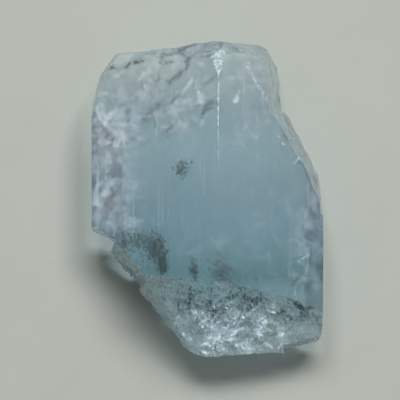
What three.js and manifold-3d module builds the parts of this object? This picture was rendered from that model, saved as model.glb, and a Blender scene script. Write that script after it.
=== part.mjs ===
// Aquamarine crystal: one broken piece of a six-sided beryl prism, lying on its side.
// Millimetres, +Z up. X runs across the prism, Y runs along its growth axis, and the
// origin is on the resting plane under the middle of the piece.
//
// The body is an extruded prism with natural faces 60 degrees apart and one long ridge on top.
// Every face that isn't a growth face is a fracture: a block with one shell-shaped, rippled
// side is subtracted from the prism, as a blow would have split the piece off.

import * as THREE from "three";
import { mergeVertices } from "three/addons/utils/BufferGeometryUtils.js";
import { ImprovedNoise } from "three/addons/math/ImprovedNoise.js";
import Module from "manifold-3d";

// Driving dimensions.
const LENGTH = 38; // along the growth axis
const WIDTH = 27.7; // from the left prism face to the right one
const RIDGE_HEIGHT = 17.5; // resting plane to the ridge
const RIDGE_X = 1.3; // the ridge stands a little right of the middle
const FACE_SLOPE = Math.tan(Math.PI / 6); // prism faces fall 30 degrees each side of the ridge
const LEFT_FOOT = 3.6; // height at which the left upright face turns under
const RIGHT_FOOT = 2.6; // and the right one
const RUN_OUT = 1.5; // how far the raw prism runs past each end before it is broken

// How a fracture is made.
const GRID = 0.95; // grid step of its surface
const BLOCK_DEPTH = 16; // thickness of the block that it takes away
const COARSE_GRAIN = 2.6; // spacing of the larger bumps
const FINE_GRAIN = 1.1; // spacing of the smaller ones, which are half as high

const wasm = await Module();
wasm.setup();
const noise = new ImprovedNoise();

// A three.js geometry as a manifold-3d solid, with only its positions kept.
function solidOf(geometry) {
  const bare = geometry.clone();
  bare.deleteAttribute("normal");
  bare.deleteAttribute("uv");
  const merged = mergeVertices(bare, 1e-4);
  return new wasm.Manifold(
    new wasm.Mesh({
      numProp: 3,
      vertProperties: new Float32Array(merged.attributes.position.array),
      triVerts: new Uint32Array(merged.index.array),
    }),
  );
}

// A manifold-3d solid as a three.js geometry.
function geometryOf(solid) {
  const mesh = solid.getMesh();
  const geometry = new THREE.BufferGeometry();
  geometry.setAttribute("position", new THREE.BufferAttribute(mesh.vertProperties, 3));
  geometry.setIndex(new THREE.BufferAttribute(mesh.triVerts, 1));
  return geometry;
}

// The same geometry with its middle over the origin and its resting face left on z = 0.
function centred(geometry) {
  geometry.computeBoundingBox();
  const middle = geometry.boundingBox.getCenter(new THREE.Vector3());
  return geometry.translate(-middle.x, -middle.y, 0);
}

// The raw prism: ridge, two sloping top faces, two upright faces, two faces turning under,
// and the wide face that it rests on.
function prism() {
  const left = -WIDTH / 2;
  const right = WIDTH / 2;
  const section = new THREE.Shape([
    new THREE.Vector2(RIDGE_X, RIDGE_HEIGHT),
    new THREE.Vector2(left, RIDGE_HEIGHT - (RIDGE_X - left) * FACE_SLOPE),
    new THREE.Vector2(left, LEFT_FOOT),
    new THREE.Vector2(left + LEFT_FOOT / FACE_SLOPE, 0),
    new THREE.Vector2(right - RIGHT_FOOT / FACE_SLOPE, 0),
    new THREE.Vector2(right, RIGHT_FOOT),
    new THREE.Vector2(right, RIDGE_HEIGHT - (right - RIDGE_X) * FACE_SLOPE),
  ]);
  const depth = LENGTH + 2 * RUN_OUT;
  return new THREE.ExtrudeGeometry(section, { depth, bevelEnabled: false })
    .rotateX(Math.PI / 2)
    .translate(0, depth / 2, 0);
}

// The block that a fracture takes away. `at` is the middle of the fracture surface, `facing`
// points out of the crystal and `run` along the surface's length; `size` is [length, breadth].
// `dish` is how deep the shell is hollowed (below 0 it swells), `ripple` and `wave` are the height
// and spacing of the rings that spread from the start of the run, and `rough` is the grain's height.
function fracture({ at, facing, run, size, dish = 0, ripple = 0, wave = 3, rough = 0, seed = 0 }) {
  const [length, breadth] = size;
  const block = new THREE.BoxGeometry(
    length,
    breadth,
    BLOCK_DEPTH,
    Math.ceil(length / GRID),
    Math.ceil(breadth / GRID),
    1,
  );
  block.translate(0, 0, BLOCK_DEPTH / 2);
  const points = block.attributes.position;
  for (let i = 0; i < points.count; i++) {
    if (points.getZ(i) > BLOCK_DEPTH / 2) continue;
    const u = points.getX(i);
    const v = points.getY(i);
    const hollow = dish * Math.max(0, 1 - (2 * u / length) ** 2 - (2 * v / breadth) ** 2);
    const ring = ripple * Math.sin((2 * Math.PI * Math.hypot(u + length / 2, v)) / wave);
    const coarse = noise.noise(u / COARSE_GRAIN, v / COARSE_GRAIN, seed);
    const fine = noise.noise(u / FINE_GRAIN, v / FINE_GRAIN, seed + 0.5);
    points.setZ(i, -(hollow + ring + rough * (coarse + fine / 2)));
  }
  const out = new THREE.Vector3(...facing).normalize();
  const along = new THREE.Vector3(...run);
  along.addScaledVector(out, -along.dot(out)).normalize();
  const across = new THREE.Vector3().crossVectors(out, along);
  return block.applyMatrix4(new THREE.Matrix4().makeBasis(along, across, out).setPosition(...at));
}

// The upper end, square across the axis, with the bevels and corners that wear gave it.
const UPPER_END = [
  { at: [-5.9, 18.25, 6], facing: [-0.135, 0.99, 0.04], run: [1, 0, 0], size: [30, 30],
    dish: 0.15, ripple: 0.05, wave: 4.1, rough: 0.3, seed: 1.3 },
  { at: [4.0, 18.9, 6], facing: [0.09, 0.99, 0.04], run: [-1, 0, 0], size: [30, 30],
    dish: 0.1, rough: 0.25, seed: 2.3 },
  { at: [-5.2, 17.1, 13.9], facing: [-0.36, 0.62, 0.7], run: [1, 0, 0], size: [30, 12],
    dish: 0.1, rough: 0.25, seed: 3.3 },
  { at: [5.2, 17.3, 15.4], facing: [0.36, 0.64, 0.68], run: [1, 0, 0], size: [30, 12],
    dish: 0.1, rough: 0.25, seed: 4.3 },
  { at: [-11.9, 16.3, 4], facing: [-0.82, 0.56, 0.1], run: [0, 0, 1], size: [30, 12],
    dish: -0.15, rough: 0.2, seed: 5.3 },
  { at: [-13.35, 13.3, 4], facing: [-0.97, 0.23, 0.06], run: [0, 0, 1], size: [30, 10],
    rough: 0.15, seed: 6.3 },
];

// The chunk missing from the upper right, whose shell runs out in a hollow corner.
const SHOULDER = [
  { at: [6.5, 18.25, 5], facing: [0.45, 0.88, 0.14], run: [0, 0, 1], size: [28, 12],
    rough: 0.2, seed: 11.3 },
  { at: [7.75, 17.0, 5], facing: [0.85, 0.5, 0.12], run: [0, 0, 1], size: [28, 12],
    rough: 0.2, seed: 12.3 },
  { at: [8.6, 14.2, 3], facing: [0.99, 0.08, 0.14], run: [0, -1, 0], size: [7.2, 30],
    dish: -0.1, ripple: 0.06, wave: 2.4, rough: 0.25, seed: 13.3 },
  { at: [10.75, 8.55, 3], facing: [0.86, 0.5, 0.17], run: [0.5, -0.86, 0], size: [7.2, 30],
    dish: 0.25, ripple: 0.12, wave: 2.7, rough: 0.25, seed: 14.3 },
  { at: [12.75, 4.55, 3], facing: [0.91, 0.4, 0.15], run: [0.4, -0.91, 0], size: [8, 30],
    dish: 0.05, ripple: 0.06, wave: 3.3, rough: 0.2, seed: 15.3 },
  { at: [13.6, 1.8, 3], facing: [0.99, 0.12, 0.06], run: [0.1, -1, 0], size: [7, 30],
    rough: 0.12, seed: 16.3 },
];

// The broken lower end: a wide double shell that slopes down from the rim, and what turns under it.
const HEEL = [
  { at: [-6.0, -11.5, 10.4], facing: [-0.42, -0.68, 0.6], run: [0.3, -0.5, -0.8], size: [34, 34],
    dish: 0.9, ripple: 0.16, wave: 3.6, rough: 0.7, seed: 21.3 },
  { at: [6.2, -15.2, 9.6], facing: [0.12, -0.74, 0.66], run: [0.1, -0.55, -0.82], size: [34, 36],
    dish: 0.9, ripple: 0.16, wave: 3.1, rough: 0.75, seed: 22.3 },
  { at: [2.0, -19.15, 7.0], facing: [0.02, -0.97, -0.25], run: [1, 0, 0], size: [34, 24],
    dish: 0.1, rough: 0.4, seed: 23.3 },
  { at: [12.6, -17.2, 3.5], facing: [0.19, -0.97, 0.15], run: [1, 0.19, 0], size: [7.0, 26],
    dish: 0.15, ripple: 0.08, wave: 2.2, rough: 0.25, seed: 24.3 },
  { at: [13.55, -16.5, 4], facing: [0.87, -0.49, 0.08], run: [0, 0, 1], size: [26, 10],
    rough: 0.2, seed: 25.3 },
];

// The long break at the lower left, stepped where it meets the left prism face.
const LEFT_BREAK = [
  { at: [-5.3, -14.5, 3.2], facing: [-0.79, -0.6, 0.2], run: [0.6, -0.79, 0], size: [13, 30],
    dish: 0.3, ripple: 0.14, wave: 2.9, rough: 0.5, seed: 31.3 },
  { at: [-5.3, -14.5, 2.2], facing: [-0.68, -0.52, -0.5], run: [0.6, -0.79, 0], size: [13, 14],
    dish: 0.1, rough: 0.4, seed: 32.3 },
  { at: [-10.4, -7.35, 3], facing: [-0.72, -0.67, 0.16], run: [0.68, -0.73, 0], size: [8.0, 30],
    dish: 0.1, ripple: 0.1, wave: 2.0, rough: 0.35, seed: 33.3 },
  { at: [-13.1, -4.1, 3], facing: [-0.4, -0.9, 0.1], run: [0.9, -0.4, 0], size: [4.4, 24],
    rough: 0.2, seed: 34.3 },
];

// The hidden back: two wide shells that thin the upper end, so that light comes up through it.
const BACK = [
  { at: [-4.5, 14.0, 2.6], facing: [-0.14, 0.36, -0.92], run: [0.5, -1, 0], size: [30, 24],
    dish: 1.2, ripple: 0.3, wave: 3.4, rough: 0.8, seed: 41.3 },
  { at: [10.2, 9.5, 2.2], facing: [0.5, 0.25, -0.83], run: [0, -1, 0], size: [26, 16],
    dish: 0.8, ripple: 0.2, wave: 2.8, rough: 0.5, seed: 42.3 },
];

function aquamarineCrystal() {
  let crystal = solidOf(prism());
  for (const cut of [...UPPER_END, ...SHOULDER, ...HEEL, ...LEFT_BREAK, ...BACK]) {
    crystal = crystal.subtract(solidOf(fracture(cut)));
  }
  return crystal;
}

const beryl = new THREE.MeshStandardMaterial({ color: 0x86a5b0, roughness: 0.2, metalness: 0 });
const crystalMesh = new THREE.Mesh(centred(geometryOf(aquamarineCrystal())), beryl);
crystalMesh.name = "aquamarine_crystal";

const group = new THREE.Group();
group.add(crystalMesh);
export default group;
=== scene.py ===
import math

import bpy
import numpy as np
from mathutils import Matrix, Vector
from mathutils.bvhtree import BVHTree


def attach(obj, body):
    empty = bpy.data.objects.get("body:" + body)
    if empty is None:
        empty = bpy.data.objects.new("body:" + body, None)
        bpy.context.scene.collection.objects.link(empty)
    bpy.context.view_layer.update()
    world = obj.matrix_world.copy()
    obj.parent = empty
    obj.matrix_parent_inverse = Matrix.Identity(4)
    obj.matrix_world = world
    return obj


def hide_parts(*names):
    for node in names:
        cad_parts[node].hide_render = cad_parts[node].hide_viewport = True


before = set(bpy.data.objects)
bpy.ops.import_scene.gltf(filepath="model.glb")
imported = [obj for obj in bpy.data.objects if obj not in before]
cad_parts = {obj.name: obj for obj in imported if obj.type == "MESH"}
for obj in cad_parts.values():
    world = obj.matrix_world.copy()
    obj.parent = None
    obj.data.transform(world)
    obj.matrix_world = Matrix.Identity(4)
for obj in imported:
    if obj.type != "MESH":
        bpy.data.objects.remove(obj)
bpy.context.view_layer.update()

MM = 0.001


# ---- Where it lies -------------------------------------------------------------------------
# The crystal lies loose on a plain pale grey-green card. One wide soft light stands over its
# right shoulder, the room fills the shadows a little, and the camera looks straight down.

FLOOR_WIDTH = 3.0
AIR_GAP = 0.08 * MM  # between the card and a resting face that is never perfectly flat
CAMERA_LENS = 340
FRAME_WIDTH = 48.24 * MM  # how much of the card the frame takes in, at the height of the outline
OUTLINE_HEIGHT = 6 * MM
CAMERA_SIDESTEP = Vector((-0.84 * MM, 0.06 * MM, 0))
KEY_DIRECTION = (80, 56)  # degrees round from +X towards +Y, and above the card
KEY_DISTANCE = 1.1
KEY_SIZE = (0.7, 0.28)
KEY_POWER = 11.7
GLINT_SHARE = 0.3  # how much of the lamp is seen mirrored in the crystal's faces
FILL_STRENGTH = 0.12
FILMS_SEEN_THROUGH = 64  # a line of sight into the crystal crosses many thin sheets

bpy.ops.object.select_all(action="DESELECT")
bpy.ops.mesh.primitive_plane_add(size=FLOOR_WIDTH, location=(0, 0, -AIR_GAP))
card = bpy.context.object
card.name = "card"


def new_finish(name):
    """A new material, with its node tree and its shader."""
    finish = bpy.data.materials.new(name)
    finish.use_nodes = True
    return finish, finish.node_tree, finish.node_tree.nodes["Principled BSDF"]


def node(tree, kind, **inputs):
    """A node with some of its inputs set."""
    made = tree.nodes.new(kind)
    for socket, value in inputs.items():
        made.inputs[socket.replace("_", " ")].default_value = value
    return made


def ramp(tree, source, stops, low=0.0, high=1.0):
    """Colours or greys for a value that runs from low to high."""
    spread = node(tree, "ShaderNodeMapRange", From_Min=low, From_Max=high)
    tree.links.new(source, spread.inputs["Value"])
    colours = tree.nodes.new("ShaderNodeValToRGB")
    elements = colours.color_ramp.elements
    while len(elements) < len(stops):
        elements.new(0.5)
    for element, (position, colour) in zip(elements, stops):
        element.position = position
        element.color = colour if len(colour) == 4 else (*colour, 1)
    tree.links.new(spread.outputs["Result"], colours.inputs["Fac"])
    return colours.outputs["Color"]


def grey(value):
    """A stop of a ramp that holds a plain value."""
    return (value, value, value)


def noise(tree, spot, stretch, detail=3.0):
    """Noise from 0 to 1 whose lumps are about stretch millimetres long on each axis."""
    scale = [1 / (MM * length) for length in stretch]
    mapping = node(tree, "ShaderNodeMapping", Scale=scale)
    tree.links.new(spot, mapping.inputs["Vector"])
    lumps = node(tree, "ShaderNodeTexNoise", Scale=1.0, Detail=detail)
    tree.links.new(mapping.outputs["Vector"], lumps.inputs["Vector"])
    return lumps.outputs["Fac"]


card_finish, tree, shader = new_finish("matte_card")
shader.inputs["Roughness"].default_value = 0.9
shader.inputs["Specular IOR Level"].default_value = 0.2
spot = tree.nodes.new("ShaderNodeTexCoord").outputs["Object"]
mottling = noise(tree, spot, (9, 9, 9), 5)
mottling = ramp(tree, mottling, [(0.3, (0.515, 0.55, 0.505)), (0.7, (0.53, 0.565, 0.52))])
tree.links.new(mottling, shader.inputs["Base Color"])
bump = node(tree, "ShaderNodeBump", Strength=1.0, Distance=0.02 * MM)
tree.links.new(noise(tree, spot, (0.7, 0.7, 0.7), 3), bump.inputs["Height"])
tree.links.new(bump.outputs["Normal"], shader.inputs["Normal"])
card.data.materials.append(card_finish)

camera_data = bpy.data.cameras.new("camera")
camera_data.lens = CAMERA_LENS
camera = bpy.data.objects.new("camera", camera_data)
bpy.context.collection.objects.link(camera)
reach = FRAME_WIDTH * CAMERA_LENS / camera_data.sensor_width
camera.location = CAMERA_SIDESTEP + Vector((0, 0, OUTLINE_HEIGHT + reach))
bpy.context.scene.camera = camera

around, above = (math.radians(angle) for angle in KEY_DIRECTION)
towards_key = Vector((math.cos(above), 0, math.sin(above)))
towards_key.rotate(Matrix.Rotation(around, 3, "Z"))


def lamp(name, power):
    """The wide light over the right shoulder. It throws no bright patches through the crystal."""
    data = bpy.data.lights.new(name, "AREA")
    data.shape = "RECTANGLE"
    data.size, data.size_y = KEY_SIZE
    data.energy = power
    data.color = (1.0, 0.995, 0.985)
    made = bpy.data.objects.new(name, data)
    bpy.context.collection.objects.link(made)
    made.location = towards_key * KEY_DISTANCE
    made.rotation_euler = towards_key.to_track_quat("Z", "Y").to_euler()
    made.visible_transmission = False
    return made


key = lamp("key", KEY_POWER)
key.visible_glossy = False

# The same light again, dimmer, for mirrored glints alone: a bare lamp would blank out a whole face.
glint = lamp("glint", KEY_POWER * GLINT_SHARE)
glint.visible_diffuse = False
glint.visible_volume_scatter = False

room = bpy.data.worlds.new("room")
room.use_nodes = True
room.node_tree.nodes["Background"].inputs["Color"].default_value = (0.98, 0.99, 0.98, 1)
room.node_tree.nodes["Background"].inputs["Strength"].default_value = FILL_STRENGTH
bpy.context.scene.world = room
bpy.context.scene.view_settings.view_transform = "Standard"
bpy.context.scene.cycles.transparent_max_bounces = FILMS_SEEN_THROUGH


# ---- The crystal ---------------------------------------------------------------------------
# One length of a six-sided beryl prism. It grew as a single piece, so it is one closed mesh: a
# raw block with one face after another taken off, first the growth faces 60 degrees apart and
# then the breaks, each by a block whose near side has that face's own relief.

# It is cut in millimetres, and brought to metres when every face is on it.
RIDGE_X = 1.3
RIDGE_HEIGHT = 17.5
HALF_WIDTH = 13.85
FACE_SLOPE = math.radians(30)
ENDS = (-19 * MM, 19 * MM)
RAW_LENGTH = 41  # of the block that it is cut from
BLOCK_DEPTH = 16  # how thick a block each cut takes away
GROWTH, ETCHED, SHELL, SPLINTERED = range(4)  # what kind of surface a cut leaves
BROKENNESS = [0.0, 0.35, 0.6, 1.0]  # how broken each kind is, for the finishes
SHARPEST_SMOOTH_EDGE = math.radians(32)
BERYL_IOR = 1.577
TABLE_SIZE = 256  # random values each way in a field of bumps, which repeats beyond them


def bumps(u, v, spacing, seed):
    """Smooth random height from -1 to 1, with bumps about a spacing apart along u and v."""
    along, across = spacing
    heights = np.random.default_rng(seed).uniform(-1, 1, (TABLE_SIZE + 1, TABLE_SIZE + 1))
    a = u / along + TABLE_SIZE / 2
    b = v / across + TABLE_SIZE / 2
    i = np.floor(a).astype(int) % TABLE_SIZE
    j = np.floor(b).astype(int) % TABLE_SIZE
    s = a - np.floor(a)
    t = b - np.floor(b)
    s = s * s * (3 - 2 * s)
    t = t * t * (3 - 2 * t)
    low = heights[i, j] * (1 - s) + heights[i + 1, j] * s
    high = heights[i, j + 1] * (1 - s) + heights[i + 1, j + 1] * s
    return low * (1 - t) + high * t


def scallops(u, v, spacing, seed, flat_sided):
    """Hollows that meet in sharp crests, from 0 in the hollows to about 1 on the crests."""
    along, across = spacing
    rng = np.random.default_rng(seed)
    cells = (TABLE_SIZE, TABLE_SIZE)
    shift = rng.uniform(0.05, 0.95, (*cells, 2))
    lift = rng.uniform(0, 0.35, cells)
    lean = rng.uniform(-0.5, 0.5, (*cells, 2))
    spin = rng.uniform(0, np.pi, cells)
    a = u / along + TABLE_SIZE / 2
    b = v / across + TABLE_SIZE / 2
    i = np.floor(a).astype(int)
    j = np.floor(b).astype(int)
    best = np.full(u.shape, 9.0)
    for di in (-1, 0, 1):
        for dj in (-1, 0, 1):
            ci = (i + di) % TABLE_SIZE
            cj = (j + dj) % TABLE_SIZE
            da = a - (i + di) - shift[ci, cj, 0]
            db = b - (j + dj) - shift[ci, cj, 1]
            if flat_sided:
                p = np.abs(da * np.cos(spin[ci, cj]) + db * np.sin(spin[ci, cj]))
                q = np.abs(db * np.cos(spin[ci, cj]) - da * np.sin(spin[ci, cj]))
                height = np.maximum(0.95 * p, 0.6 * q) + lift[ci, cj]
            else:
                height = da * da + db * db + lift[ci, cj]
            height += da * lean[ci, cj, 0] + db * lean[ci, cj, 1]
            best = np.minimum(best, height)
    return best


def growth_relief(u, v, cut):
    """A face that grew: nearly flat, with faint steps and lines along the prism."""
    lines = 0.012 * bumps(u, v, (14, 0.35), cut["seed"])
    lines += 0.02 * bumps(u, v, (22, 1.3), cut["seed"] + 1)
    swells = 0.03 * bumps(u, v, (7, 5), cut["seed"] + 2)
    pits = 0.012 * bumps(u, v, (0.9, 0.7), cut["seed"] + 3)
    return lines + swells + pits


def ridge_relief(u, v, cut):
    """The worn crest of the ridge: a narrow flat, with etched teeth that lean to the upper end."""
    patch = np.exp(-(((u - 16.8) / 1.6) ** 4))
    worn = np.exp(-(((u - 11.6) / 2.6) ** 4))
    uneven = 0.5 + 0.5 * bumps(u, v, (1.3, 5), cut["seed"])
    teeth = (u / 0.42 + 0.5 * np.abs(v) / 0.42) % 1
    depth = 0.018 + 0.014 * uneven + patch * (0.23 + 0.12 * teeth) + worn * (0.022 + 0.03 * teeth)
    return depth + 0.02 * bumps(u, v, (0.6, 0.3), cut["seed"] + 1)


def break_relief(u, v, cut):
    """A face that broke: a hollow shell, rings that spread from the blow, and splinters."""
    length, breadth = cut["size"]
    hollow = np.maximum(0, 1 - (2 * u / length) ** 2 - (2 * v / breadth) ** 2)
    warp = 1.2 * bumps(u, v, (4, 4), cut["seed"])
    distance = np.hypot(u + length / 2, v) + warp
    rings = np.sin(2 * np.pi * distance / cut["wave"])
    grain = bumps(u, v, (2.6, 2.6), cut["seed"] + 1) + 0.4 * bumps(u, v, (0.9, 0.9), cut["seed"] + 2)
    relief = cut["dish"] * hollow + cut["ripple"] * rings + cut["rough"] * grain
    rim, slope = cut["rim"]
    below_rim = np.clip((u - rim - slope * v) / 2.6, 0, 1)
    chipped = 0.12 + 0.88 * below_rim * below_rim * (3 - 2 * below_rim)
    for number, (depth, *spacing) in enumerate(cut["chips"]):
        chips = scallops(u, v, spacing, cut["seed"] + 5 + number, cut["angular"])
        relief -= depth * (0.45 + (chips - 0.45) * chipped)
    return relief


def block_to_split_off(cut):
    """The block that one cut takes away, with its near side down in the crystal."""
    length, breadth = cut["size"]
    step = cut["step"]
    bpy.ops.mesh.primitive_grid_add(
        x_subdivisions=math.ceil(length / step), y_subdivisions=math.ceil(breadth / step), size=1
    )
    block = bpy.context.object
    block.scale = (length, breadth, 1)
    bpy.ops.object.transform_apply(scale=True)
    bpy.ops.object.mode_set(mode="EDIT")
    bpy.ops.mesh.select_all(action="SELECT")
    bpy.ops.mesh.region_to_loop()
    bpy.ops.mesh.extrude_region_move(TRANSFORM_OT_translate={"value": (0, 0, BLOCK_DEPTH)})
    bpy.ops.mesh.edge_face_add()
    bpy.ops.mesh.select_all(action="SELECT")
    bpy.ops.mesh.normals_make_consistent(inside=False)
    bpy.ops.object.mode_set(mode="OBJECT")
    places = np.empty(len(block.data.vertices) * 3)
    block.data.vertices.foreach_get("co", places)
    places = places.reshape(-1, 3)
    near = places[:, 2] < BLOCK_DEPTH / 2
    relief = cut["relief"]
    places[near, 2] = -relief(places[near, 0], places[near, 1], cut)
    block.data.vertices.foreach_set("co", places.ravel())
    out = Vector(cut["facing"]).normalized()
    along = Vector(cut["run"])
    along = (along - out * along.dot(out)).normalized()
    turn = Matrix((along, out.cross(along), out)).transposed().to_4x4()
    block.data.transform(Matrix.Translation(cut["at"]) @ turn)
    for kind in BROKENNESS:
        block.data.materials.append(None)
    block.data.polygons.foreach_set("material_index", [cut["kind"]] * len(block.data.polygons))
    return block


def split_off(crystal, cut):
    """Take one cut's block away, and leave its kind on the new faces."""
    block = block_to_split_off(cut)
    boolean = crystal.modifiers.new("cut", "BOOLEAN")
    boolean.operation = "DIFFERENCE"
    boolean.solver = "MANIFOLD"
    boolean.material_mode = "INDEX"
    boolean.object = block
    bpy.context.view_layer.objects.active = crystal
    bpy.ops.object.modifier_apply(modifier="cut")
    bpy.data.objects.remove(block)


def cut(at, facing, run, size, kind, seed, dish=0, ripple=0, wave=3, rough=0, chips=(), step=0.3,
        angular=False, relief=break_relief, rim=(-99, 0)):
    """One face to cut: its middle, where it points and runs, how far it reaches, and its relief."""
    return dict(at=at, facing=facing, run=run, size=size, kind=kind, seed=seed, dish=dish,
                ripple=ripple, wave=wave, rough=rough, chips=chips, step=step, rim=rim,
                angular=angular or kind == SPLINTERED, relief=growth_relief if kind == GROWTH else relief)


lean = math.tan(FACE_SLOPE)
growth_faces = [
    cut((-6.3, 0, RIDGE_HEIGHT - 7.6 * lean), (-0.5, 0, 0.866), (0, 1, 0), (42, 24), GROWTH, 101),
    cut((7.6, 0, RIDGE_HEIGHT - 6.3 * lean), (0.5, 0, 0.866), (0, 1, 0), (42, 22), GROWTH, 102),
    cut((-HALF_WIDTH, 0, 6), (-1, 0, 0), (0, 1, 0), (42, 18), GROWTH, 103),
    cut((HALF_WIDTH, 0, 6), (1, 0, 0), (0, 1, 0), (42, 18), GROWTH, 104),
    cut((-10.75, 0, 1.8), (-0.5, 0, -0.866), (0, 1, 0), (42, 12), GROWTH, 105),
    cut((11.6, 0, 1.3), (0.5, 0, -0.866), (0, 1, 0), (42, 10), GROWTH, 106),
    cut((RIDGE_X, 0, RIDGE_HEIGHT), (0, 0, 1), (0, 1, 0), (42, 2.4), ETCHED, 107, step=0.08,
        relief=ridge_relief),
]

# The upper end, square across the axis, with the bevels and corners that wear gave it.
upper_end = [
    cut((-5.9, 18.25, 6), (-0.135, 0.99, 0.04), (1, 0, 0), (30, 30), ETCHED, 1, 0.15, 0.05, 4.1, 0.12,
        [(0.12, 1.6, 1.6), (0.05, 0.6, 0.6)]),
    cut((4.0, 18.9, 6), (0.09, 0.99, 0.04), (-1, 0, 0), (30, 30), ETCHED, 2, 0.1, 0, 3, 0.1,
        [(0.12, 1.6, 1.6), (0.05, 0.6, 0.6)]),
    cut((-5.2, 17.1, 13.9), (-0.36, 0.62, 0.7), (1, 0, 0), (30, 12), ETCHED, 3, 0.1, 0, 3, 0.12,
        [(0.12, 1.9, 0.9), (0.05, 0.5, 0.5)]),
    cut((5.2, 17.3, 15.4), (0.36, 0.64, 0.68), (1, 0, 0), (30, 12), ETCHED, 4, 0.1, 0, 3, 0.12,
        [(0.12, 1.9, 0.9), (0.05, 0.5, 0.5)]),
    cut((-11.9, 16.3, 4), (-0.82, 0.56, 0.1), (0, 0, 1), (30, 12), ETCHED, 5, -0.15, 0, 3, 0.1,
        [(0.1, 1.2, 1.2)]),
    cut((-13.35, 13.3, 4), (-0.97, 0.23, 0.06), (0, 0, 1), (30, 10), ETCHED, 6, 0, 0, 3, 0.08,
        [(0.06, 1.2, 1.2)]),
]

# The chunk missing from the upper right, whose shell runs out in a hollow corner.
shoulder = [
    cut((6.5, 18.25, 5), (0.45, 0.88, 0.14), (0, 0, 1), (28, 12), ETCHED, 11, 0, 0, 3, 0.1,
        [(0.1, 1.2, 1.2)]),
    cut((7.75, 17.0, 5), (0.85, 0.5, 0.12), (0, 0, 1), (28, 12), SHELL, 12, 0, 0, 3, 0.1,
        [(0.1, 1.5, 1.2)]),
    cut((8.6, 14.2, 3), (0.99, 0.08, 0.14), (0, -1, 0), (7.2, 30), SHELL, 13, -0.1, 0.05, 2.4, 0.12,
        [(0.12, 2.0, 1.4)]),
    cut((10.75, 8.55, 3), (0.86, 0.5, 0.17), (0.5, -0.86, 0), (7.2, 30), SHELL, 14, 0.25, 0.1, 2.7, 0.12,
        [(0.12, 2.2, 1.6)]),
    cut((12.75, 4.55, 3), (0.91, 0.4, 0.15), (0.4, -0.91, 0), (8, 30), SHELL, 15, 0.05, 0.06, 3.3, 0.12,
        [(0.1, 2.2, 1.6)]),
    cut((13.6, 1.8, 3), (0.99, 0.12, 0.06), (0.1, -1, 0), (7, 30), SHELL, 16, 0, 0, 3, 0.08,
        [(0.06, 1.5, 1.5)]),
]

# The broken lower end: a wide double shell that slopes down from the rim, and what turns under it.
heel = [
    cut((-6.0, -11.6, 10.4), (-0.42, -0.68, 0.6), (0.3, -0.5, -0.8), (34, 34), SPLINTERED, 21, 0.9, 0.03, 3.6,
        0.15, [(0.8, 4.2, 2.1), (0.55, 1.9, 1.1), (0.12, 0.7, 0.5)], 0.2, rim=(-3.0, -0.07)),
    cut((6.2, -15.3, 9.6), (0.12, -0.74, 0.66), (0.1, -0.55, -0.82), (34, 36), SPLINTERED, 22, 0.9, 0.03, 3.1,
        0.15, [(0.8, 4.4, 2.1), (0.55, 1.8, 1.1), (0.12, 0.7, 0.5)], 0.2, rim=(-6.8, 0.6)),
    cut((2.0, -18.85, 7.0), (0.02, -0.97, -0.25), (1, 0, 0), (34, 24), SPLINTERED, 23, 0.1, 0, 3, 0.15,
        [(0.3, 1.6, 2.4), (0.12, 0.6, 0.8)]),
    cut((12.6, -17.2, 3.5), (0.19, -0.97, 0.15), (1, 0.19, 0), (7.0, 26), SHELL, 24, 0.15, 0.08, 2.2, 0.12,
        [(0.15, 1.7, 2.4)]),
    cut((13.55, -16.5, 4), (0.87, -0.49, 0.08), (0, 0, 1), (26, 10), SHELL, 25, 0, 0, 3, 0.1,
        [(0.1, 1.5, 1.5)]),
]

# The long break at the lower left, stepped where it meets the left prism face.
left_break = [
    cut((-5.3, -14.5, 3.2), (-0.79, -0.6, 0.2), (0.6, -0.79, 0), (13, 30), SPLINTERED, 31, 0.3, 0.12, 2.9,
        0.25, [(0.25, 1.6, 3.0), (0.1, 0.6, 0.9)]),
    cut((-5.3, -14.5, 2.2), (-0.68, -0.52, -0.5), (0.6, -0.79, 0), (13, 14), SPLINTERED, 32, 0.1, 0, 3, 0.2,
        [(0.2, 1.6, 1.6)]),
    cut((-10.4, -7.35, 3), (-0.72, -0.67, 0.16), (0.68, -0.73, 0), (8.0, 30), SPLINTERED, 33, 0.1, 0.1, 2.0,
        0.2, [(0.2, 1.4, 2.4), (0.08, 0.6, 0.6)]),
    cut((-13.1, -4.1, 3), (-0.4, -0.9, 0.1), (0.9, -0.4, 0), (4.4, 24), SHELL, 34, 0, 0, 3, 0.12,
        [(0.1, 1.2, 1.2)]),
]

# The hidden back: two wide shells that thin the upper end, so that light comes up through it.
back = [
    cut((-4.5, 14.0, 2.6), (-0.14, 0.36, -0.92), (0.5, -1, 0), (30, 24), SHELL, 41, 0.6, 0.08, 3.4, 0.12,
        [(0.4, 2.6, 1.5), (0.16, 1.1, 0.7)], 0.25, angular=True),
    cut((10.2, 9.5, 2.2), (0.5, 0.25, -0.83), (0, -1, 0), (26, 16), SHELL, 42, 0.5, 0.08, 2.8, 0.12,
        [(0.35, 2.4, 1.5), (0.14, 1.0, 0.7)], 0.25, angular=True),
]

bpy.ops.object.select_all(action="DESELECT")
bpy.ops.mesh.primitive_cube_add(size=1)
crystal = bpy.context.object
crystal.name = "crystal_body"
crystal.scale = (2 * HALF_WIDTH + 1, RAW_LENGTH, RIDGE_HEIGHT + 1)
crystal.location = (0, 0, (RIDGE_HEIGHT + 1) / 2)
bpy.ops.object.transform_apply(location=True, scale=True)
for kind in BROKENNESS:
    crystal.data.materials.append(None)
for face_cut in growth_faces + upper_end + shoulder + heel + left_break + back:
    split_off(crystal, face_cut)
crystal.data.transform(Matrix.Diagonal((MM, MM, MM, 1)))

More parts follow.
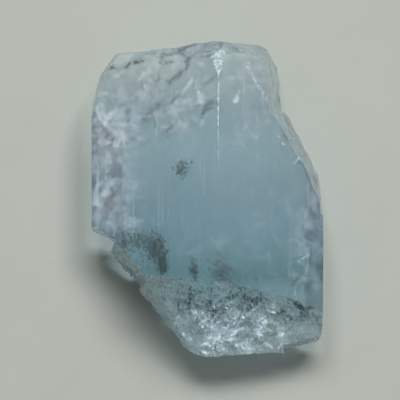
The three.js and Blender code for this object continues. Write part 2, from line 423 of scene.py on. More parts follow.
kinds = np.empty(len(crystal.data.polygons), dtype=np.int32)
crystal.data.polygons.foreach_get("material_index", kinds)
brokenness = crystal.data.attributes.new("brokenness", "FLOAT", "FACE")
brokenness.data.foreach_set("value", np.choose(kinds, BROKENNESS).astype(np.float32))
crystal.data.materials.clear()


def select_only(piece):
    """Leave one piece selected and active, for the operators that follow."""
    bpy.ops.object.select_all(action="DESELECT")
    piece.select_set(True)
    bpy.context.view_layer.objects.active = piece


select_only(crystal)
bpy.ops.object.shade_smooth_by_angle(angle=SHARPEST_SMOOTH_EDGE)


def maths(tree, operation, *values):
    """The result of one sum, whose values are numbers or other nodes' outputs."""
    made = tree.nodes.new("ShaderNodeMath")
    made.operation = operation
    for slot, value in enumerate(values):
        if isinstance(value, (int, float)):
            made.inputs[slot].default_value = value
        else:
            tree.links.new(value, made.inputs[slot])
    return made.outputs["Value"]


def mixed(tree, mask, first, second):
    """The first colour where the mask is 0 and the second where it is 1."""
    made = tree.nodes.new("ShaderNodeMix")
    made.data_type = "RGBA"
    for slot, value in ((0, mask), (6, first), (7, second)):
        if isinstance(value, (int, float, tuple)):
            made.inputs[slot].default_value = value
        else:
            tree.links.new(value, made.inputs[slot])
    return made.outputs[2]


def stored(tree, name):
    """A value that the mesh itself holds, face by face or point by point."""
    made = tree.nodes.new("ShaderNodeAttribute")
    made.attribute_name = name
    return made.outputs["Fac"]


beryl, tree, shader = new_finish("beryl")
shader.inputs["IOR"].default_value = BERYL_IOR
shader.inputs["Transmission Weight"].default_value = 0.86
shader.inputs["Subsurface Weight"].default_value = 1.0
shader.inputs["Subsurface Radius"].default_value = (0.7, 0.9, 1.0)
shader.inputs["Subsurface Scale"].default_value = 0.03
spot = tree.nodes.new("ShaderNodeTexCoord").outputs["Object"]
axes = tree.nodes.new("ShaderNodeSeparateXYZ")
tree.links.new(spot, axes.inputs["Vector"])
broken = stored(tree, "brokenness")

# Colour: greyer towards the upper end, bluest in the middle, deepest above the broken end.
drift = maths(tree, "MULTIPLY_ADD", noise(tree, spot, (6, 9, 6)), 6 * MM, -3 * MM)
zone = maths(tree, "ADD", axes.outputs["Y"], drift)
body_colour = ramp(tree, zone, [
    (0.0, (0.90, 0.98, 1.0)),
    (0.17, (0.82, 0.95, 0.99)),
    (0.27, (0.49, 0.69, 0.73)),
    (0.42, (0.64, 0.80, 0.88)),
    (0.62, (0.76, 0.90, 0.97)),
    (0.78, (0.82, 0.95, 1.0)),
    (0.88, (0.90, 0.99, 1.0)),
    (1.0, (0.90, 1.0, 1.0)),
], *ENDS)
tree.links.new(body_colour, shader.inputs["Base Color"])

# Finish: growth faces shine, etched and broken faces are frosty in patches.
patches = noise(tree, spot, (1.1, 1.1, 1.1), 4)
growth_roughness = ramp(tree, noise(tree, spot, (2.5, 5, 2.5), 4), [(0.35, grey(0.015)), (0.7, grey(0.06))])
patchy_roughness = ramp(tree, patches, [(0.35, grey(0.1)), (0.65, grey(0.36))])
frostiness = ramp(tree, broken, [(0.3, grey(0.35)), (0.6, grey(0.5)), (1.0, grey(1))])
break_roughness = maths(tree, "MULTIPLY", patchy_roughness, frostiness)
is_broken = ramp(tree, broken, [(0.0, grey(0)), (0.3, grey(1))])
tree.links.new(mixed(tree, is_broken, growth_roughness, break_roughness), shader.inputs["Roughness"])

# Fine relief: lines along the growth axis on growth faces, crumbs on the others.
lines = noise(tree, spot, (0.22, 9, 0.22), 2)
etching = noise(tree, spot, (0.5, 0.8, 0.5), 3)
growth_height = maths(tree, "ADD", maths(tree, "MULTIPLY", lines, 0.5), etching)
crumbliness = ramp(tree, broken, [(0.3, grey(0.2)), (0.6, grey(0.35)), (1.0, grey(1))])
crumbs = maths(tree, "MULTIPLY", noise(tree, spot, (0.5, 0.9, 0.5), 4), crumbliness)
height = mixed(tree, is_broken, growth_height, maths(tree, "MULTIPLY", crumbs, 9.0))
bump = node(tree, "ShaderNodeBump", Strength=1.0, Distance=0.006 * MM)
tree.links.new(height, bump.inputs["Height"])
tree.links.new(bump.outputs["Normal"], shader.inputs["Normal"])

# Light let through: a ray on its way to the lamp passes the faces that it meets from inside, those
# that point down and, in part, the low breaks. Each passes only the share of the light that a stone
# this thick and cloudy would, so what is sealed in it is lit and the card under it isn't black.
geometry = tree.nodes.new("ShaderNodeNewGeometry")
upright = tree.nodes.new("ShaderNodeSeparateXYZ")
tree.links.new(geometry.outputs["Normal"], upright.inputs["Vector"])
low_down = ramp(tree, axes.outputs["Y"], [(0.0, grey(0.25)), (1.0, grey(0))], -14 * MM, -9 * MM)
low_down = maths(tree, "MULTIPLY", low_down, ramp(tree, broken, [(0.5, grey(0)), (0.9, grey(1))]))
under_it = ramp(tree, upright.outputs["Z"], [(0.0, grey(1)), (1.0, grey(0))], -0.8, -0.6)
from_inside = geometry.outputs["Backfacing"]
opening = maths(tree, "MAXIMUM", from_inside, maths(tree, "MAXIMUM", low_down, under_it))
let_in = maths(tree, "MULTIPLY", tree.nodes.new("ShaderNodeLightPath").outputs["Is Shadow Ray"], opening)
clear = tree.nodes.new("ShaderNodeBsdfTransparent")
share = ramp(tree, axes.outputs["Y"], [
    (0.0, (0.84, 0.86, 0.88)),
    (0.22, (0.60, 0.65, 0.69)),
    (0.32, (0.58, 0.61, 0.64)),
    (0.6, (0.57, 0.60, 0.64)),
    (0.8, (0.52, 0.54, 0.58)),
    (0.95, (0.72, 0.74, 0.77)),
], *ENDS)
by_left_wall = ramp(tree, axes.outputs["X"], [(0.0, grey(1)), (0.4, grey(0.8)), (1.0, grey(0))],
                    -14 * MM, -7 * MM)
by_left_wall = maths(tree, "MULTIPLY", by_left_wall, maths(tree, "MULTIPLY_ADD", from_inside, 0.6, 0.4))
share = mixed(tree, by_left_wall, share, (0.93, 0.94, 0.98, 1))
tree.links.new(share, clear.inputs["Color"])
surface = tree.nodes.new("ShaderNodeMixShader")
tree.links.new(let_in, surface.inputs["Fac"])
tree.links.new(shader.outputs["BSDF"], surface.inputs[1])
tree.links.new(clear.outputs["BSDF"], surface.inputs[2])
tree.links.new(surface.outputs["Shader"], tree.nodes["Material Output"].inputs["Surface"])

absorption = node(tree, "ShaderNodeVolumeAbsorption", Color=(0.40, 0.82, 1.0, 1), Density=15)
tree.links.new(absorption.outputs["Volume"], tree.nodes["Material Output"].inputs["Volume"])
crystal.data.materials.append(beryl)

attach(crystal, "root")
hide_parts("aquamarine_crystal")


# ---- The crushed skin of its breaks --------------------------------------------------------
# Where it broke, the outermost crystal is crushed to white splinters and dark mineral dust has
# lodged in it. This is a film a hundredth of a millimetre thick, lifted from every face but those
# that grew. Along the crest of the ridge its white is partly a painted highlight.

FILM_THICKNESS = 0.01 * MM
FILM_LIFT = 0.012 * MM
CHEVRON_STEEPNESS = 1.6  # of the herringbone's teeth, which point to the lower end
HALF_TOOTH = 0.13 * MM

select_only(crystal)
bpy.ops.object.duplicate()
skin = bpy.context.object
skin.name = "crushed_skin_and_painted_highlight"
for tag in list(skin.keys()):
    del skin[tag]
skin.data.materials.clear()
how_broken = np.empty(len(skin.data.polygons), dtype=np.float32)
skin.data.attributes["brokenness"].data.foreach_get("value", how_broken)
bpy.ops.object.mode_set(mode="EDIT")
bpy.ops.mesh.select_mode(type="FACE")
bpy.ops.mesh.select_all(action="DESELECT")
bpy.ops.object.mode_set(mode="OBJECT")
skin.data.polygons.foreach_set("select", how_broken == 0)
bpy.ops.object.mode_set(mode="EDIT")
bpy.ops.mesh.delete(type="FACE")
bpy.ops.mesh.select_all(action="SELECT")
bpy.ops.transform.shrink_fatten(value=FILM_LIFT)
bpy.ops.object.mode_set(mode="OBJECT")
film = skin.modifiers.new("film", "SOLIDIFY")
film.thickness = FILM_THICKNESS
film.offset = 1
bpy.ops.object.modifier_apply(modifier="film")

# Its white is crushed crystal and frost, and on the ridge's crest also a painted highlight.
crushed, tree, shader = new_finish("crushed_beryl_and_painted_highlight")
shader.inputs["Roughness"].default_value = 0.3
shader.inputs["IOR"].default_value = BERYL_IOR
shader.inputs["Subsurface Weight"].default_value = 1.0
shader.inputs["Subsurface Radius"].default_value = (1, 1, 1)
shader.inputs["Subsurface Scale"].default_value = 0.02 * MM
spot = tree.nodes.new("ShaderNodeTexCoord").outputs["Object"]
axes = tree.nodes.new("ShaderNodeSeparateXYZ")
tree.links.new(spot, axes.inputs["Vector"])
across, along, up = (axes.outputs[name] for name in "XYZ")

# Relief: splinters that run down the break and catch the light.
shards = maths(tree, "ADD", noise(tree, spot, (0.7, 1.8, 1.8), 2), noise(tree, spot, (0.3, 0.6, 0.6), 2))
bump = node(tree, "ShaderNodeBump", Strength=1.0, Distance=0.3 * MM)
tree.links.new(shards, bump.inputs["Height"])
tree.links.new(bump.outputs["Normal"], shader.inputs["Normal"])

# Where: white low on the broken end and along the crest of the ridge, where it is partly a painted
# highlight, and dark under that end's rim.
ragged = maths(tree, "MULTIPLY_ADD", noise(tree, spot, (2.2, 2.2, 2.2), 3), 5 * MM, -2.5 * MM)
reach_down = maths(tree, "ADD", along, ragged)
low_heel = ramp(tree, reach_down, [(0.45, grey(1)), (0.75, grey(0.2)), (1.0, grey(0))], -19 * MM, -8 * MM)
rim_heel = ramp(tree, reach_down, [(0.0, grey(0.0)), (0.3, grey(0.12)), (0.55, grey(1)), (0.85, grey(1)),
                                   (1.0, grey(0))], -19 * MM, -6 * MM)
beside_ridge = maths(tree, "ABSOLUTE", maths(tree, "SUBTRACT", across, RIDGE_X * MM))
crest = ramp(tree, beside_ridge, [(0.0, grey(1)), (0.8, grey(1)), (1.0, grey(0))], 0, 0.95 * MM)
high_up = ramp(tree, up, [(0.0, grey(0)), (1.0, grey(1))], 16.6 * MM, 17.1 * MM)
on_crest = maths(tree, "MULTIPLY", crest, high_up)
# Painted highlight: the crest whitens most between about 10 and 13 mm up the axis, where the lamp's line of
# light along the ridge is brightest, and fades towards the broken end; at the upper end it is the etched
# patch.
crest_etch_and_painted_highlight = ramp(tree, along, [
    (0.0, grey(0.06)),
    (0.5, grey(0.2)),
    (0.64, grey(0.5)),
    (0.7, grey(1.0)),
    (0.82, grey(0.9)),
    (0.87, grey(0.6)),
    (1.0, grey(0.8)),
], -10 * MM, 18.5 * MM)

# How: white in splinters that run down the break, in frost on its left and in a herringbone on the
# crest, which also carries a painted highlight, and dark in specks and smears.
splinters = ramp(tree, noise(tree, spot, (0.35, 1.0, 1.0), 6), [(0.44, grey(0.05)), (0.62, grey(1))])
crumbs = ramp(tree, noise(tree, spot, (0.6, 0.6, 0.6), 6), [(0.40, grey(0.1)), (0.6, grey(1))])
white_heel = maths(tree, "MAXIMUM", splinters, maths(tree, "MULTIPLY", crumbs, 0.6))
glassy_corner = ramp(tree, across, [(0.0, grey(0.9)), (1.0, grey(0.3))], 9 * MM, 11 * MM)
white_heel = maths(tree, "MULTIPLY", maths(tree, "MULTIPLY", low_heel, glassy_corner), white_heel)
by_left = ramp(tree, across, [(0.0, grey(0.95)), (1.0, grey(0))], -6 * MM, -0.5 * MM)
frost = ramp(tree, along, [(0.0, grey(1)), (1.0, grey(0))], -7 * MM, -4 * MM)
frost = maths(tree, "MULTIPLY", maths(tree, "MULTIPLY", frost, by_left), maths(tree, "MAXIMUM", crumbs, 0.5))
chevron = maths(tree, "ADD", along, maths(tree, "MULTIPLY", beside_ridge, -CHEVRON_STEEPNESS))
wander = maths(tree, "MULTIPLY", noise(tree, spot, (0.3, 0.3, 0.3), 3), 1.1 * MM)
chevron = maths(tree, "ADD", chevron, wander)
teeth = maths(tree, "PINGPONG", chevron, HALF_TOOTH)
herringbone = ramp(tree, teeth, [(0.2, grey(0.1)), (0.55, grey(1))], 0, HALF_TOOTH)
tattered = ramp(tree, noise(tree, spot, (0.4, 0.5, 0.4), 5), [(0.38, grey(0.15)), (0.52, grey(1))])
herringbone = maths(tree, "MULTIPLY", herringbone, tattered)
# The herringbone on the crest, its whiteness scaled by the painted highlight.
white_crest_and_painted_highlight = maths(tree, "MULTIPLY", on_crest, maths(tree, "MULTIPLY", crest_etch_and_painted_highlight, herringbone))
faint = ramp(tree, noise(tree, spot, (0.9, 0.9, 0.9), 5), [(0.45, grey(0)), (0.7, grey(0.12))])
# All the white of the film, with the painted highlight on the crest among it.
white = maths(tree, "MAXIMUM", maths(tree, "MAXIMUM", white_heel, white_crest_and_painted_highlight), faint)
white = maths(tree, "MAXIMUM", white, frost)

speckle = ramp(tree, noise(tree, spot, (0.16, 0.22, 0.22), 3), [(0.56, grey(0)), (0.66, grey(1))])
gathered = ramp(tree, noise(tree, spot, (2.0, 1.4, 2.0), 3), [(0.42, grey(0)), (0.58, grey(1))])
dark = maths(tree, "MULTIPLY", gathered, rim_heel)
dark = maths(tree, "MULTIPLY", maths(tree, "MAXIMUM", speckle, 0.1), dark)

colour = mixed(tree, dark, (0.76, 0.92, 1.0, 1), (0.008, 0.04, 0.042, 1))
tree.links.new(colour, shader.inputs["Base Color"])
tree.links.new(maths(tree, "MAXIMUM", white, dark), shader.inputs["Alpha"])
skin.data.materials.append(crushed)
skin.visible_shadow = False  # a film this thin hardly dims the light that passes
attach(skin, "root")


# ---- What is sealed in it: scattered grains ------------------------------------------------
# Small things caught as the crystal grew, and crushed crystal still held on its breaks. Each
# kind is one joined mesh of copies of a small closed shape, turned and sized by a seeded draw.


def turned_at_random(count, rng):
    """Random rotation matrices."""
    q = rng.normal(size=(count, 4))
    w, x, y, z = (q / np.linalg.norm(q, axis=1)[:, None]).T
    rows = [
        [1 - 2 * (y * y + z * z), 2 * (x * y - z * w), 2 * (x * z + y * w)],
        [2 * (x * y + z * w), 1 - 2 * (x * x + z * z), 2 * (y * z - x * w)],
        [2 * (x * z - y * w), 2 * (y * z + x * w), 1 - 2 * (x * x + y * y)],
    ]
    return np.moveaxis(np.array(rows), 2, 0)


def facing_matrices(normals, rng):
    """Rotation matrices that turn +Z to each normal, with a random spin about it."""
    normals = normals / np.linalg.norm(normals, axis=1)[:, None]
    along = np.cross(normals, rng.normal(size=normals.shape))
    along /= np.linalg.norm(along, axis=1)[:, None]
    return np.stack([along, np.cross(normals, along), normals], axis=2)


def small_shape(kind, stretch, seed):
    """A small closed shape: a grain with flat facets, or a slender rod along +Y."""
    bpy.ops.object.select_all(action="DESELECT")
    if kind == "grain":
        bpy.ops.mesh.primitive_ico_sphere_add(subdivisions=1, radius=1)
    else:
        bpy.ops.mesh.primitive_cylinder_add(vertices=6, radius=1, depth=2, rotation=(math.pi / 2, 0, 0))
    shape = bpy.context.object
    bpy.ops.object.transform_apply(rotation=True)
    points = np.array([tuple(vertex.co) for vertex in shape.data.vertices])
    if kind == "grain":
        points *= np.random.default_rng(seed).uniform(0.6, 1.25, (len(points), 1))
    points *= stretch
    faces = [tuple(polygon.vertices) for polygon in shape.data.polygons]
    bpy.data.objects.remove(shape)
    return points, faces


def joined_copies(name, shape, places, sizes, turns, finish):
    """One piece of many copies of a small shape, which rides with the crystal."""
    points, faces = shape
    moved = np.einsum("nij,vj->nvi", turns, points) * sizes[:, None, None] + places[:, None, :]
    starts = np.arange(len(places)) * len(points)
    all_faces = [tuple(start + corner for corner in face) for start in starts.tolist() for face in faces]
    mesh = bpy.data.meshes.new(name)
    mesh.from_pydata((moved.reshape(-1, 3) * MM).tolist(), [], all_faces)
    mesh.materials.append(finish)
    piece = bpy.data.objects.new(name, mesh)
    bpy.context.collection.objects.link(piece)
    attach(piece, "root")
    return piece


crystal_surface = BVHTree.FromPolygons(
    [vertex.co / MM for vertex in crystal.data.vertices],
    [tuple(polygon.vertices) for polygon in crystal.data.polygons],
)


def inside(places, margin):
    """Which places lie in the crystal, at least a margin under its surface."""
    kept = []
    for place in places:
        near, normal, _, _ = crystal_surface.find_nearest(Vector(place))
        kept.append((near - Vector(place)).dot(normal) > margin)
    return np.array(kept)


def clusters(specs, rng):
    """Places and sizes for specs of (x, y, spread, depth under the upper faces, count, sizes)."""
    places = []
    sizes = []
    for x, y, spread, (shallow, deep), count, (smallest, largest) in specs:
        drawn = np.array((x, y, 0)) + rng.normal(size=(count, 3)) * np.array((*spread, 0))
        depth = shallow + (deep - shallow) * rng.random(count) ** 1.5
        drawn[:, 2] = RIDGE_HEIGHT - np.abs(drawn[:, 0] - RIDGE_X) * lean - depth
        places.append(drawn)
        sizes.append(smallest + (largest - smallest) * rng.random(count) ** 2.5)
    return np.concatenate(places), np.concatenate(sizes)


def shader_group(name, inputs, outputs):
    """A node group with named sockets, and the two nodes that stand for its ends."""
    group = bpy.data.node_groups.new(name, "ShaderNodeTree")
    for label, kind in inputs:
        group.interface.new_socket(name=label, in_out="INPUT", socket_type="NodeSocket" + kind)
    for label, kind in outputs:
        group.interface.new_socket(name=label, in_out="OUTPUT", socket_type="NodeSocket" + kind)
    return group, group.nodes.new("NodeGroupInput"), group.nodes.new("NodeGroupOutput")


def placed(tree, group, **values):
    """A group set into a material with that material's own values."""
    made = tree.nodes.new("ShaderNodeGroup")
    made.node_tree = group
    for label, value in values.items():
        made.inputs[label].default_value = value
    return made


# Tone: no two grains quite alike, and each smoother here and duller there.
tone_group, given, given_out = shader_group(
    "grain_tone", [("Deep", "Color"), ("Pale", "Color"), ("Smooth", "Float"), ("Dull", "Float")],
    [("Color", "Color"), ("Roughness", "Float")])
spot = tone_group.nodes.new("ShaderNodeTexCoord").outputs["Object"]
share_pale = ramp(tone_group, noise(tone_group, spot, (0.5, 0.5, 0.5), 3), [(0.35, grey(0)), (0.65, grey(1))])
tone = mixed(tone_group, share_pale, given.outputs["Deep"], given.outputs["Pale"])
tone_group.links.new(tone, given_out.inputs["Color"])
share_dull = ramp(tone_group, noise(tone_group, spot, (0.3, 0.6, 0.3), 4), [(0.35, grey(0)), (0.65, grey(1))])
difference = maths(tone_group, "SUBTRACT", given.outputs["Dull"], given.outputs["Smooth"])
tone_group.links.new(maths(tone_group, "MULTIPLY_ADD", share_dull, difference, given.outputs["Smooth"]),
                     given_out.inputs["Roughness"])


def grain_finish(name, deep, pale, smooth, dull):
    """A finish for grains between two colours and between two roughnesses."""
    finish, tree, shader = new_finish(name)
    tone = placed(tree, tone_group, Deep=(*deep, 1), Pale=(*pale, 1), Smooth=smooth, Dull=dull)
    tree.links.new(tone.outputs["Color"], shader.inputs["Base Color"])
    tree.links.new(tone.outputs["Roughness"], shader.inputs["Roughness"])
    return finish


# Dark mineral flakes: small spots by the upper edge, the spot left of the ridge with its thin tail,
# and the dark green clouds that gather above the broken end.
rng = np.random.default_rng(7)
places, sizes = clusters([
    (-11.2, 15.9, (0.35, 0.12), (0.2, 0.6), 60, (0.06, 0.2)),
    (-8.1, 16.5, (0.45, 0.12), (0.2, 0.6), 80, (0.06, 0.24)),
    (-4.8, 16.4, (0.7, 0.15), (0.2, 0.6), 80, (0.06, 0.2)),
    (-9.4, 10.7, (0.2, 0.3), (0.2, 0.5), 50, (0.06, 0.2)),
    (-2.9, 3.7, (0.42, 0.5), (0.13, 0.3), 220, (0.06, 0.3)),
    (-2.9, 3.7, (0.9, 0.9), (0.13, 0.5), 50, (0.04, 0.12)),
    (-3.9, 2.0, (0.12, 0.5), (0.2, 0.5), 30, (0.05, 0.14)),
    (-8.2, -4.6, (1.3, 0.6), (0.15, 1.2), 760, (0.05, 0.22)),
    (-6.0, -5.8, (0.7, 0.9), (0.15, 0.9), 900, (0.06, 0.3)),
    (-5.2, -7.6, (0.35, 0.7), (0.15, 0.7), 420, (0.06, 0.3)),
    (-1.5, -8.2, (0.3, 0.6), (0.15, 0.7), 260, (0.05, 0.26)),
    (1.8, -8.6, (0.8, 0.9), (0.15, 0.9), 700, (0.05, 0.24)),
    (4.8, -9.2, (2.2, 0.6), (0.3, 1.6), 480, (0.04, 0.16)),
    (10.4, -9.4, (2.0, 0.9), (0.3, 1.6), 520, (0.04, 0.18)),
    (11.2, -6.9, (0.8, 0.15), (0.2, 0.5), 60, (0.05, 0.14)),
], rng)
kept = inside(places, 0.12)
places, sizes = places[kept], sizes[kept]
dark_mineral = grain_finish("dark_mineral", (0.004, 0.026, 0.026), (0.02, 0.09, 0.085), 0.35, 0.6)
joined_copies("dark_flakes", small_shape("grain", (0.4, 1, 0.3), 3), places, sizes,
              turned_at_random(len(places), rng), dark_mineral)


# ---- What is sealed in it: healed cracks ---------------------------------------------------
# Feathers: thin curved sheets where the crystal cracked and grew together again. They crowd under
# the upper left face, a pair of wings meets on the ridge, and finer ones lie as haze by the walls.
# Two small white sheets by the right edge are painted glints.

SHEET_COLUMNS = 15
SHEET_ROWS = 11
SHEET_THICKNESS = 0.01 * MM
LEAST_COVER = 0.04  # crystal over every part of a sheet, in millimetres


def feather_sheets(name, specs, rng, finish):
    """Curved sheets from (middle, normal, half length, half breadth, curl, brightness) in one piece."""
    u, v = np.meshgrid(np.linspace(-1, 1, SHEET_COLUMNS), np.linspace(-1, 1, SHEET_ROWS), indexing="ij")
    u, v = u.ravel(), v.ravel()
    corners = [(i * SHEET_ROWS + j, (i + 1) * SHEET_ROWS + j, (i + 1) * SHEET_ROWS + j + 1,
                i * SHEET_ROWS + j + 1) for i in range(SHEET_COLUMNS - 1) for j in range(SHEET_ROWS - 1)]
    points, faces, reaches, glows, strands = [], [], [], [], []
    for number, (middle, normal, length, breadth, curl, glow) in enumerate(specs):
        wave = 0.14 * bumps(u, v, (0.45, 0.6), 900 + number) + 0.05 * bumps(u, v, (0.2, 0.25), 950 + number)
        bowed = u * length + 0.25 * length * v * v
        sheet = np.stack([bowed, v * breadth, (curl * u * u + wave) * length], axis=1)
        turn = facing_matrices(np.array([normal], dtype=float), rng)[0]
        start = len(points) * len(u)
        points.append(sheet @ turn.T + np.array(middle))
        faces += [tuple(start + corner for corner in face) for face in corners]
        reaches.append(np.hypot(u, v / (0.65 + 0.35 * u)))
        glows.append(np.full(len(u), glow) * (0.6 + 0.4 * v))
        strands.append(number * 7.3 + v * breadth / 0.14 + 0.4 * u)
    points = np.concatenate(points)
    sealed = inside(points, LEAST_COVER)
    faces = [face for face in faces if all(sealed[corner] for corner in face)]
    mesh = bpy.data.meshes.new(name)
    mesh.from_pydata((points * MM).tolist(), [], faces)
    for label, values in (("reach", reaches), ("glow", glows), ("strand", strands)):
        attribute = mesh.attributes.new(label, "FLOAT", "POINT")
        attribute.data.foreach_set("value", np.concatenate(values))
    mesh.materials.append(finish)
    sheets = bpy.data.objects.new(name, mesh)
    bpy.context.collection.objects.link(sheets)
    select_only(sheets)
    bpy.ops.object.mode_set(mode="EDIT")
    bpy.ops.mesh.select_all(action="SELECT")
    bpy.ops.mesh.delete_loose()
    bpy.ops.object.mode_set(mode="OBJECT")
    film = sheets.modifiers.new("film", "SOLIDIFY")
    film.thickness = SHEET_THICKNESS
    bpy.ops.object.modifier_apply(modifier="film")
    bpy.ops.object.shade_smooth()
    sheets.visible_shadow = False
    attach(sheets, "root")


# Veil: where a sheet shows. Its edge is ragged, it is brightest at the rim and worn through in
# patches, and fine barbs run across it.
veil_group, given, given_out = shader_group(
    "feather_veil",
    [("Deep", "Color"), ("Pale", "Color"), ("Fill", "Float"), ("Barbs", "Float"), ("Strength", "Float")],
    [("Color", "Color"), ("Alpha", "Float")])
reach, glow, strand = (stored(veil_group, label) for label in ("reach", "glow", "strand"))
spot = veil_group.nodes.new("ShaderNodeTexCoord").outputs["Object"]
ragged = maths(veil_group, "MULTIPLY", noise(veil_group, spot, (0.9, 0.9, 0.9), 4), 0.9)
edge = maths(veil_group, "ADD", reach, ragged)
rim = ramp(veil_group, edge, [(0.5, grey(0)), (0.76, grey(1)), (0.86, grey(0))], 0, 1.4)
middle = ramp(veil_group, edge, [(0.76, grey(1)), (0.86, grey(0))], 0, 1.4)
rim = maths(veil_group, "MAXIMUM", rim, maths(veil_group, "MULTIPLY", middle, given.outputs["Fill"]))
worn = ramp(veil_group, noise(veil_group, spot, (0.8, 0.8, 0.8), 5), [(0.34, grey(0.2)), (0.56, grey(1))])
barbs = node(veil_group, "ShaderNodeTexNoise", Scale=1.0, Detail=2.0)
barbs.noise_dimensions = "1D"
veil_group.links.new(strand, barbs.inputs["W"])
barbed = ramp(veil_group, barbs.outputs["Fac"], [(0.42, grey(1)), (0.56, grey(0))])
barbed = maths(veil_group, "MULTIPLY", barbed, given.outputs["Barbs"])
barbed = maths(veil_group, "SUBTRACT", 1, barbed)
alpha = maths(veil_group, "MULTIPLY", maths(veil_group, "MULTIPLY", rim, worn), barbed)
alpha = maths(veil_group, "MULTIPLY", alpha, glow)
alpha = maths(veil_group, "MULTIPLY", alpha, given.outputs["Strength"])
veil_group.links.new(alpha, given_out.inputs["Alpha"])
tint = ramp(veil_group, noise(veil_group, spot, (1.6, 1.6, 1.6), 3), [(0.35, grey(0)), (0.65, grey(1))])
tint = mixed(veil_group, tint, given.outputs["Deep"], given.outputs["Pale"])
veil_group.links.new(tint, given_out.inputs["Color"])


def feather_finish(name, deep, pale, fill, barbs, strength):
    """A finish for sheets: how far each is filled in, how barbed it is and how strongly it shows."""
    finish, tree, shader = new_finish(name)
    shader.inputs["Roughness"].default_value = 0.35
    veil = placed(tree, veil_group, Deep=(*deep, 1), Pale=(*pale, 1), Fill=fill, Barbs=barbs,
                  Strength=strength)
    tree.links.new(veil.outputs["Color"], shader.inputs["Base Color"])
    tree.links.new(veil.outputs["Alpha"], shader.inputs["Alpha"])
    return finish


def roof(x):
    """Height of the upper prism faces over x."""
    return RIDGE_HEIGHT - abs(x - RIDGE_X) * lean


def feathers_within(specs, cover):
    """The specs whose middle has at least this much crystal over it."""
    kept = inside([spec[0] for spec in specs], cover)
    return [spec for spec, keep in zip(specs, kept) if keep]


# Feathers in a crowd under the upper left face, and a few beyond the ridge.
rng = np.random.default_rng(21)
feathers = []
for number in range(130):
    x = -13.0 + 12.6 * rng.random() ** 0.8
    y = 8.2 + 8.6 * rng.random()
    y += 0.12 * x
    deep = 0.12 + 1.3 * rng.random() ** 1.8
    tilt = rng.normal(0, 0.28, 3)
    length = 0.7 + 1.7 * rng.random() ** 1.5
    feathers.append(((x, y, roof(x) - deep), (-0.4 + tilt[0], 0.25 + tilt[1], 0.9), length,
                     length * rng.uniform(0.35, 0.6), rng.uniform(-0.3, 0.3), rng.uniform(0.5, 1.3)))
for number in range(36):
    x = 2.0 + 5.5 * rng.random()
    y = 6.5 + 10 * rng.random()
    tilt = rng.normal(0, 0.25, 3)
    feathers.append(((x, y, roof(x) - 0.3 - 1.6 * rng.random()), (0.3 + tilt[0], 0.2 + tilt[1], 0.9),
                     0.6 + 1.1 * rng.random(), 0.3 + 0.5 * rng.random(), rng.uniform(-0.3, 0.3),
                     rng.uniform(0.35, 0.9)))
pale_feather = feather_finish("healed_crack", (0.80, 0.78, 0.80), (0.96, 0.88, 0.87), 0.7, 0.5, 0.5)
feather_sheets("feathers", feathers_within(feathers, 0.2), rng, pale_feather)

# The wings either side of the ridge, brighter than the rest, two short cracks by the right edge,
# and two painted glints: small sheets filled in white where the lamp sparkles off a facet.
wings_and_painted_glints = [
    ((-0.75, 12.25, 15.85), (-0.5, 0.12, 0.86), 1.3, 0.9, 0.1, 1.9),
    ((3.4, 12.2, 15.85), (0.5, 0.12, 0.86), 1.2, 0.8, 0.1, 1.5),
    ((-2.2, 13.4, 14.9), (-0.5, 0.2, 0.86), 1.4, 0.6, -0.1, 1.2),
    ((10.7, 4.9, 11.5), (-0.1, 0.6, 0.75), 1.2, 0.3, 0.1, 2.0),
    ((11.2, -7.0, 11.2), (0.3, 0.5, 0.75), 1.5, 0.25, 0.1, 1.8),
    # Painted glints: these two sheets show at full white and stand for the lamp's sparkle off a facet.
    ((8.4, 7.6, 12.95), (0.3, 0.4, 0.85), 0.4, 0.3, 0.1, 3.0),
    ((9.0, 6.7, 12.6), (0.4, 0.3, 0.85), 0.35, 0.25, 0.1, 3.0),
]
# A streak of small bright flakes that runs down to the right of the ridge.
for down in np.linspace(0, 1, 13):
    x = 4.5 + 2.5 * down + rng.normal(0, 0.1)
    wings_and_painted_glints.append(((x, 16.2 - 4.5 * down, roof(x) - 0.35 - 0.2 * rng.random()),
                  (0.5 + rng.normal(0, 0.12), 0.1 + rng.normal(0, 0.12), 0.86), rng.uniform(0.35, 0.6),
                  rng.uniform(0.18, 0.32), 0.1, rng.uniform(0.7, 1.3)))
# One finish for the bright wings and cracks and for the painted glints.
bright_feather_and_painted_glint = feather_finish("bright_crack_and_painted_glint", (0.88, 0.93, 0.98), (0.97, 0.99, 1.0), 1.0, 0.75, 1.0)
feather_sheets("wings_and_painted_glints", wings_and_painted_glints, rng, bright_feather_and_painted_glint)

# Haze: a thick bank by the left wall, a thinner one by the right wall, and faint sheets between.
rng = np.random.default_rng(33)
haze = []
for number in range(200):
    x = -13.5 + 5.2 * rng.random() ** 1.7
    y = -6 + 17 * rng.random()
    haze.append(((x, y, roof(x) - 0.6 - 2.2 * rng.random()),
                 (-0.3 + rng.normal(0, 0.15), rng.normal(0, 0.2), 0.9), 1.4 + 1.8 * rng.random(),
                 0.8 + 1.2 * rng.random(), rng.uniform(-0.12, 0.12), rng.uniform(0.22, 0.36)))
for number in range(40):
    x = 13.4 - 3.5 * rng.random() ** 1.4
    y = rng.uniform(-11, 1)
    haze.append(((x, y, roof(x) - 0.5 - 2.0 * rng.random()),
                 (0.3 + rng.normal(0, 0.15), rng.normal(0, 0.2), 0.9), 1.0 + 1.4 * rng.random(),
                 0.6 + 0.9 * rng.random(), rng.uniform(-0.12, 0.12), rng.uniform(0.3, 0.8)))
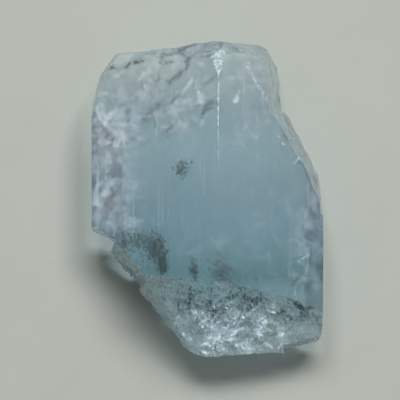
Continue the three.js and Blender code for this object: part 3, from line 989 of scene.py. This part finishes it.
for number in range(90):
    x = rng.uniform(-11, 12)
    y = rng.uniform(-7, 17)
    haze.append(((x, y, roof(x) - 0.6 - 4 * rng.random()), (rng.normal(0, 0.15), rng.normal(0, 0.2), 0.9),
                 1.2 + 1.8 * rng.random(), 0.5 + 1.0 * rng.random(), rng.uniform(-0.12, 0.12),
                 rng.uniform(0.15, 0.5)))
haze_finish = feather_finish("milky_haze", (0.84, 0.91, 0.97), (0.94, 0.96, 1.0), 0.9, 0.5, 0.42)
feather_sheets("haze", feathers_within(haze, 0.4), rng, haze_finish)

# Growth tubes: hair-thin hollow needles that all run along the prism.
TUBES_DRAWN = 60
TUBE_COVER = 0.15

rng = np.random.default_rng(34)
x = rng.uniform(-13, 13, TUBES_DRAWN)
y = rng.uniform(-8, 14, TUBES_DRAWN)
z = roof(x) - 0.2 - 3 * rng.random(TUBES_DRAWN) ** 1.5
middles = np.stack([x, y, z], axis=1)
half_lengths = 0.8 + 2.2 * rng.random(TUBES_DRAWN)
ends = np.stack([np.zeros(TUBES_DRAWN), half_lengths, np.zeros(TUBES_DRAWN)], axis=1)
kept = inside(middles, TUBE_COVER) & inside(middles + ends, TUBE_COVER) & inside(middles - ends, TUBE_COVER)
middles, half_lengths = middles[kept], half_lengths[kept]
straight = np.broadcast_to(np.eye(3), (len(middles), 3, 3))
tube_finish = grain_finish("growth_tube", (0.60, 0.70, 0.76), (0.85, 0.92, 0.97), 0.15, 0.35)
joined_copies("growth_tubes", small_shape("rod", (0.012, 1, 0.012), 0), middles, half_lengths, straight,
              tube_finish)


# ---- Splinters on the breaks ---------------------------------------------------------------
# Slivers of crushed crystal still held on the broken end, and grains of dark mineral lodged under
# its rim and at its lower right corner. They lean on the break's own faces, most of them down it.

SPLINTER_COUNT = 850
LODGED_COUNT = 1500

polygons = crystal.data.polygons
break_middles = np.array([tuple(polygon.center) for polygon in polygons]) / MM
break_normals = np.array([tuple(polygon.normal) for polygon in polygons])
break_areas = np.array([polygon.area for polygon in polygons])
break_kinds = np.array([item.value for item in crystal.data.attributes["brokenness"].data])


def on_breaks(count, weight, rng):
    """Places and normals drawn from the faces of the crystal, with a weight for every face."""
    chance = break_areas * weight
    drawn = rng.choice(len(chance), count, p=chance / chance.sum())
    places = break_middles[drawn] + rng.normal(0, 0.06, (count, 3))
    return places, break_normals[drawn]


def down_the_break(normals, rng, spread):
    """Rotation matrices that lay a sliver's length down the slope of each face."""
    normals = normals + rng.normal(0, 0.35, normals.shape)
    normals /= np.linalg.norm(normals, axis=1)[:, None]
    down = np.array([0.0, 0.35, 1.0]) + rng.normal(0, spread, normals.shape)
    down -= normals * (down * normals).sum(axis=1)[:, None]
    down /= np.linalg.norm(down, axis=1)[:, None]
    return np.stack([np.cross(down, normals), down, normals], axis=2)


rng = np.random.default_rng(51)
x, y, z = break_middles.T
splintered = (break_kinds > 0.9) & (break_normals[:, 2] > -0.3)
splintered &= z > 0.6
low = np.clip((-11.5 - y) / 3.0, 0, 1) * splintered
low *= (y > -17.9) * np.clip((9.4 - x) / 1.5, 0, 1) * (break_normals[:, 2] > 0.25)
gather = np.clip(0.5 + bumps(x, z, (1.6, 2.4), 71), 0.05, 1) ** 2
places, normals = on_breaks(SPLINTER_COUNT, low * gather, rng)
sizes = 0.12 + 0.6 * rng.random(SPLINTER_COUNT) ** 2.2
places -= normals * (0.25 * sizes[:, None])
raised = 0.4 * normals + np.array([0.0, 0.1, 0.9])
white_splinter = grain_finish("white_splinter", (0.60, 0.78, 0.87), (0.80, 0.94, 1.0), 0.08, 0.3)
splinters = joined_copies("splinters", small_shape("grain", (0.42, 1, 0.12), 5), places, sizes,
                          down_the_break(raised, rng, 0.5), white_splinter)
splinters.visible_shadow = False

rim = np.exp(-(((y + 11.8 + 0.06 * x) / 1.5) ** 2)) * splintered * (x > -3.5)
corner = np.exp(-(((y + 12.4) / 1.1) ** 2) - ((x - 11.4) / 1.9) ** 2) * (break_kinds > 0)
gather = (bumps(x, y, (0.9, 0.7), 72) > 0.05) * 1.0
places, normals = on_breaks(LODGED_COUNT, (rim + 1.8 * corner) * (gather + 0.12), rng)
sizes = 0.05 + 0.15 * rng.random(LODGED_COUNT) ** 2
joined_copies("lodged_mineral", small_shape("grain", (0.5, 1, 0.3), 6), places, sizes,
              down_the_break(normals, rng, 0.8), dark_mineral)
